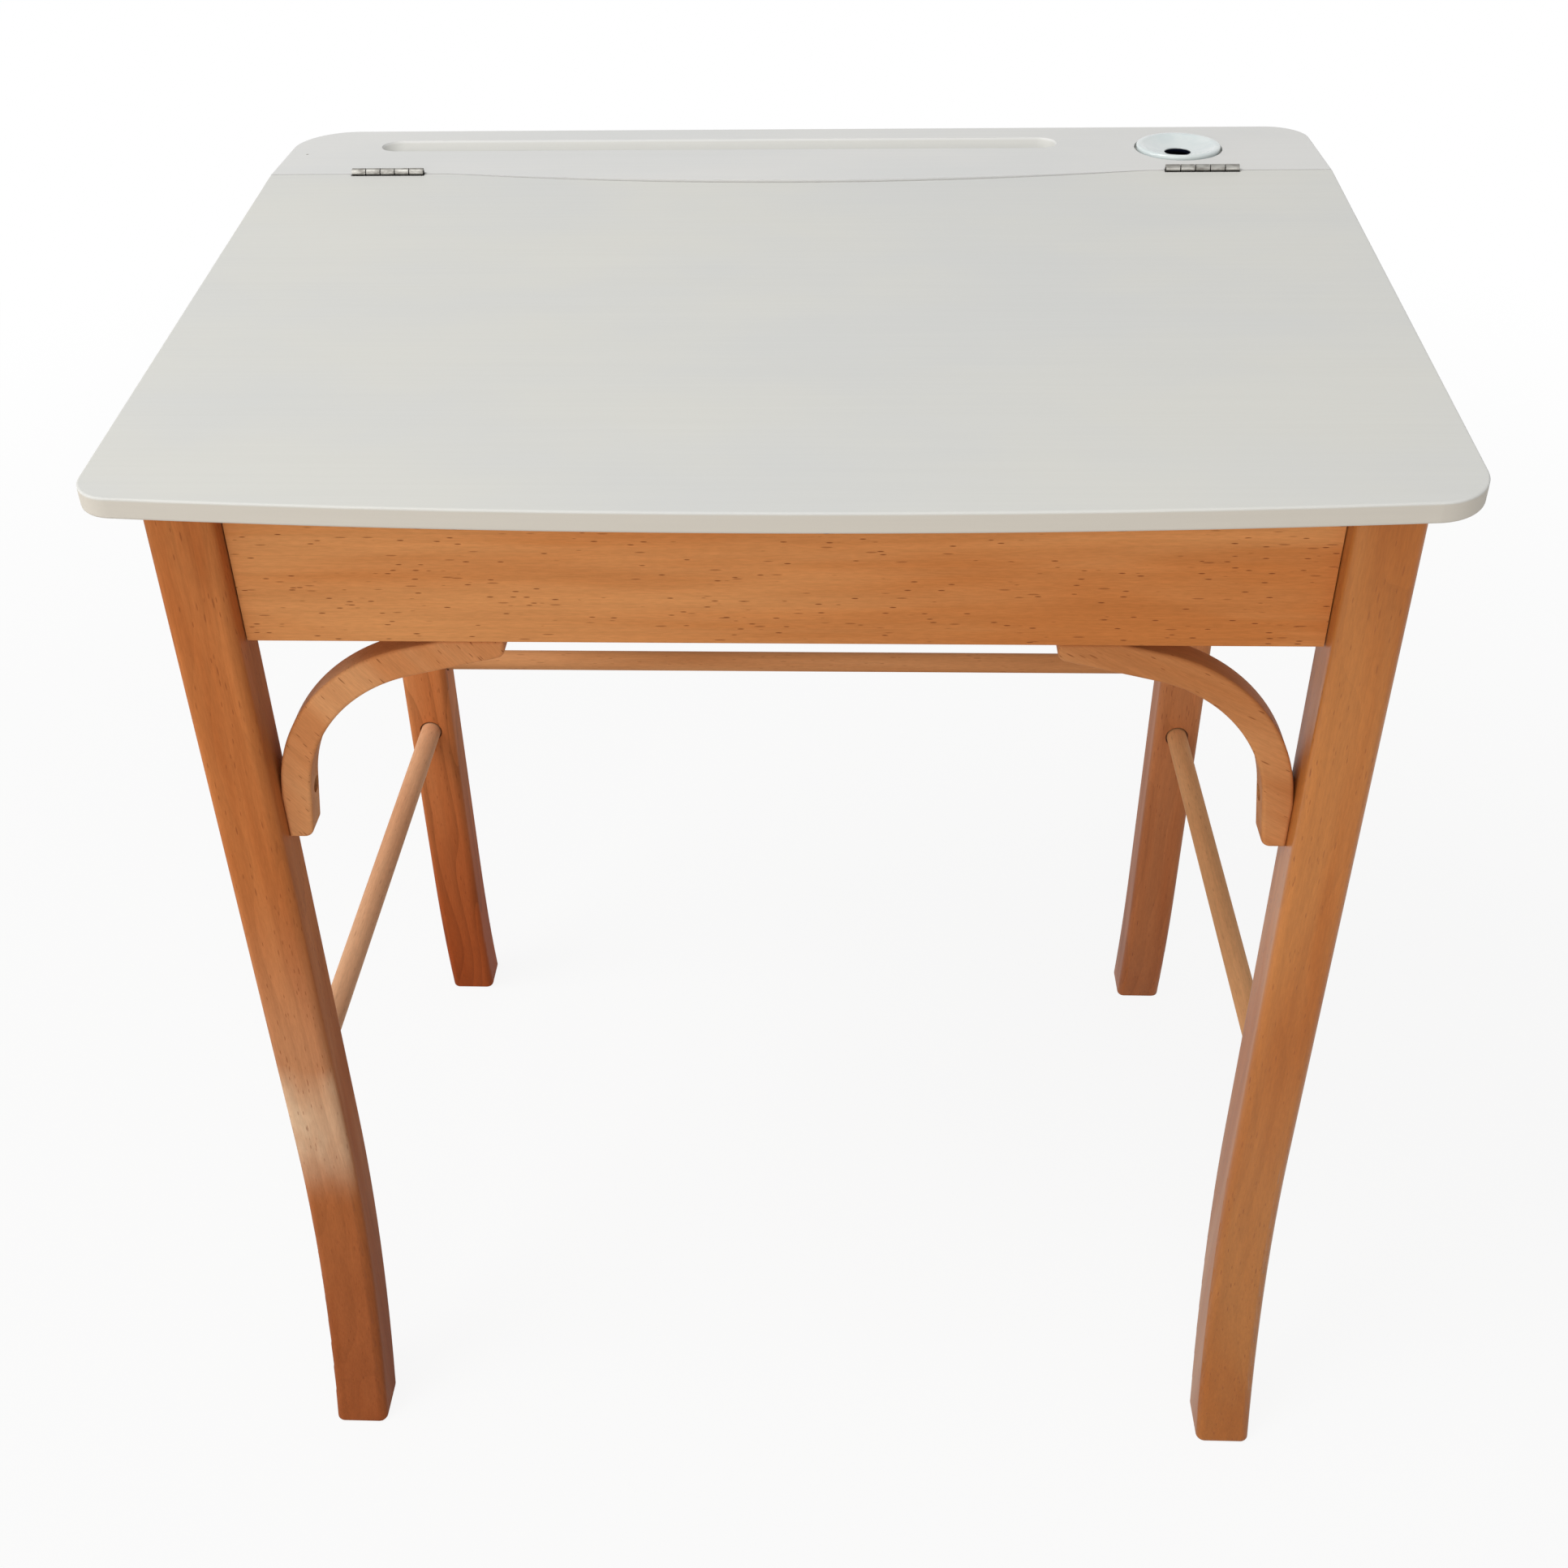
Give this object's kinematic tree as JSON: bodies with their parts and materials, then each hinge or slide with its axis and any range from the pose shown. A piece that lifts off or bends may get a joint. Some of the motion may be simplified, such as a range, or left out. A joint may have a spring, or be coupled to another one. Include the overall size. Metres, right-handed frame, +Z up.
{
  "type": "school desk",
  "caption": "Child's school desk with a sloping hinged lid over a box, a fixed rail with pen groove and lift-out inkwell, and curved beech legs joined by round stretchers.",
  "frame": {"origin": "on the floor under the middle of the desk's outer box", "axes": "+Z up, -Y towards the sitter's side with the lid's front edge, +X to the sitter's right, where the inkwell is"},
  "size_m": [0.612, 0.454, 0.6773],
  "materials": {
    "beech": "clear satin varnish",
    "dowel_beech": "clear satin varnish",
    "painted_board": "satin paint",
    "plywood": "bare",
    "nickel": "satin nickel",
    "screw_steel": "dull",
    "porcelain": "gloss glaze"
  },
  "bodies": {
    "frame": {"left_front_leg": "beech", "right_front_leg": "beech", "left_rear_leg": "beech", "right_rear_leg": "beech", "front_apron": "beech", "rear_apron": "beech", "left_side_apron": "beech", "right_side_apron": "beech", "left_brace": "beech", "right_brace": "beech", "left_side_stretcher": "dowel_beech", "right_side_stretcher": "dowel_beech", "rear_stretcher": "dowel_beech", "front_cleat": "beech", "rear_cleat": "beech", "left_cleat": "beech", "right_cleat": "beech", "rail_dowels": "beech", "rear_rail": "painted_board", "bottom_panel": "plywood", "brace_screws": "screw_steel", "left_hinge_rail_leaf": "nickel", "right_hinge_rail_leaf": "nickel", "left_hinge_pin": "nickel", "right_hinge_pin": "nickel", "hinge_rail_screws": "nickel"},
    "lid": {"desk_lid": "painted_board", "left_hinge_lid_leaf": "nickel", "right_hinge_lid_leaf": "nickel", "hinge_lid_screws": "nickel"},
    "inkwell": {"inkwell": "porcelain"}
  },
  "joints": [
    {"name": "lid_hinge", "type": "hinge", "parent": "frame", "child": "lid", "pos_m": [0, 0.1395, 0.6748], "axis": [-1, 0, 0], "range_deg": [0, 105]},
    {"name": "inkwell_lift", "type": "slide", "parent": "frame", "child": "inkwell", "axis": [0, 0, 1], "range_m": [0, 0.045]}
  ]
}
